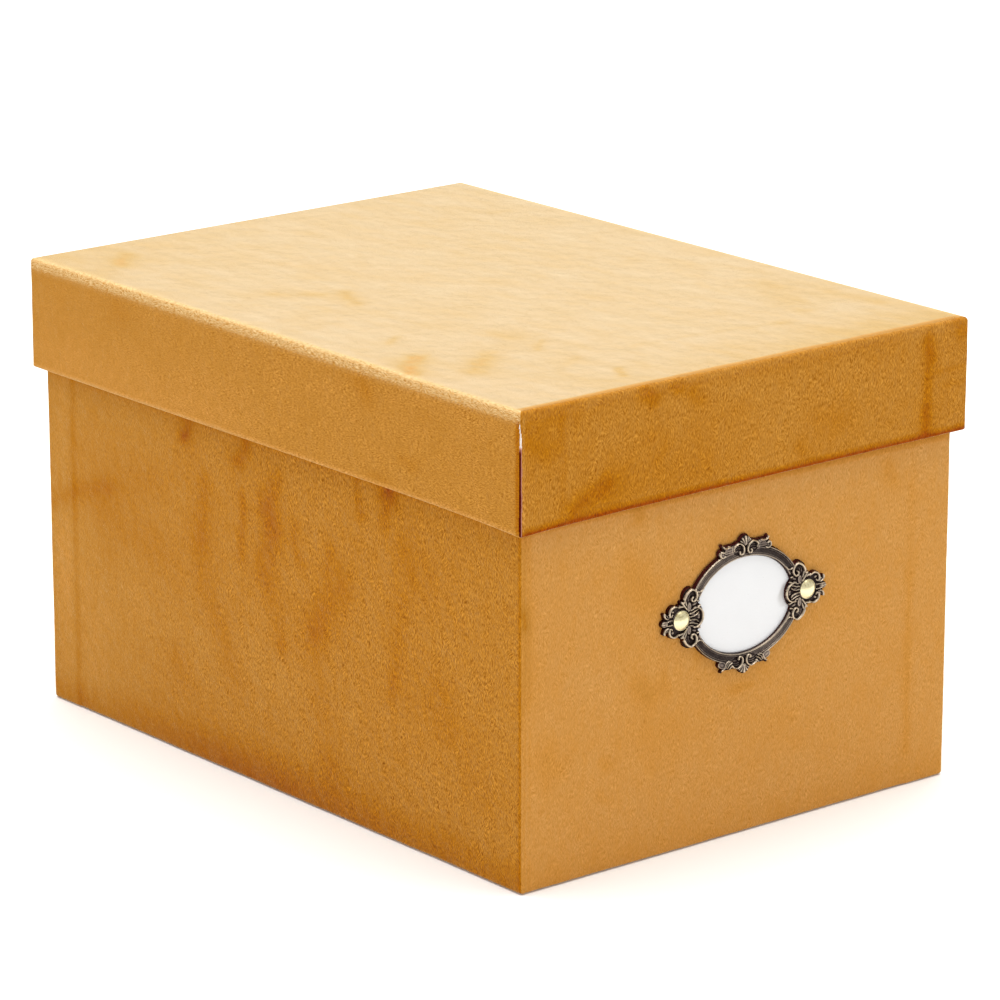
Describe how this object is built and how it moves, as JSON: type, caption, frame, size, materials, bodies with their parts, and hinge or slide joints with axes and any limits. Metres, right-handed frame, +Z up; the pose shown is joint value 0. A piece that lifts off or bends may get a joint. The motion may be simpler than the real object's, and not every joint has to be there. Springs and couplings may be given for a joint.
{
  "type": "lidded storage box",
  "caption": "Rectangular rigid storage box with a lift-off lid, covered in velvet, with an ornate oval label holder on its short front face.",
  "frame": {"origin": "centre of the underside, on the surface that the box stands on", "axes": "+Z up, +Y from the label face towards the rear along the longest side, +X to the right as seen from in front of the label"},
  "size_m": [0.18, 0.25, 0.15],
  "materials": {
    "mustard_velvet": "matte",
    "greyboard": "matte",
    "kraft_tape": "matte",
    "lining_paper": "matte",
    "bottom_paper": "matte",
    "antique_bronze": "satin",
    "card_stock": "satin",
    "bright_brass": "polished",
    "brass_strip": "satin"
  },
  "bodies": {
    "base": {"base_floor_board": "greyboard", "base_front_board": "greyboard", "base_rear_board": "greyboard", "base_left_board": "greyboard", "base_right_board": "greyboard", "base_corner_stay_front_left": "kraft_tape", "base_corner_stay_front_right": "kraft_tape", "base_corner_stay_rear_left": "kraft_tape", "base_corner_stay_rear_right": "kraft_tape", "base_velvet_wrap": "mustard_velvet", "base_wall_lining": "lining_paper", "base_floor_lining": "lining_paper", "base_bottom_sheet": "bottom_paper", "label_frame": "antique_bronze", "split_pin_cap_left": "bright_brass", "split_pin_cap_right": "bright_brass", "split_pin_legs_left": "brass_strip", "split_pin_legs_right": "brass_strip"},
    "lid": {"lid_top_board": "greyboard", "lid_front_board": "greyboard", "lid_rear_board": "greyboard", "lid_left_board": "greyboard", "lid_right_board": "greyboard", "lid_corner_stay_front_left": "kraft_tape", "lid_corner_stay_front_right": "kraft_tape", "lid_corner_stay_rear_left": "kraft_tape", "lid_corner_stay_rear_right": "kraft_tape", "lid_velvet_wrap": "mustard_velvet", "lid_lining": "lining_paper"},
    "label_card": {"label_card": "card_stock"}
  },
  "joints": [
    {"name": "lid_lift", "type": "slide", "parent": "base", "child": "lid", "axis": [0, 0, 1], "range_m": [0, 0.2]},
    {"name": "label_card_slide", "type": "slide", "parent": "base", "child": "label_card", "axis": [0, 0, 1], "range_m": [0, 0.04]}
  ]
}
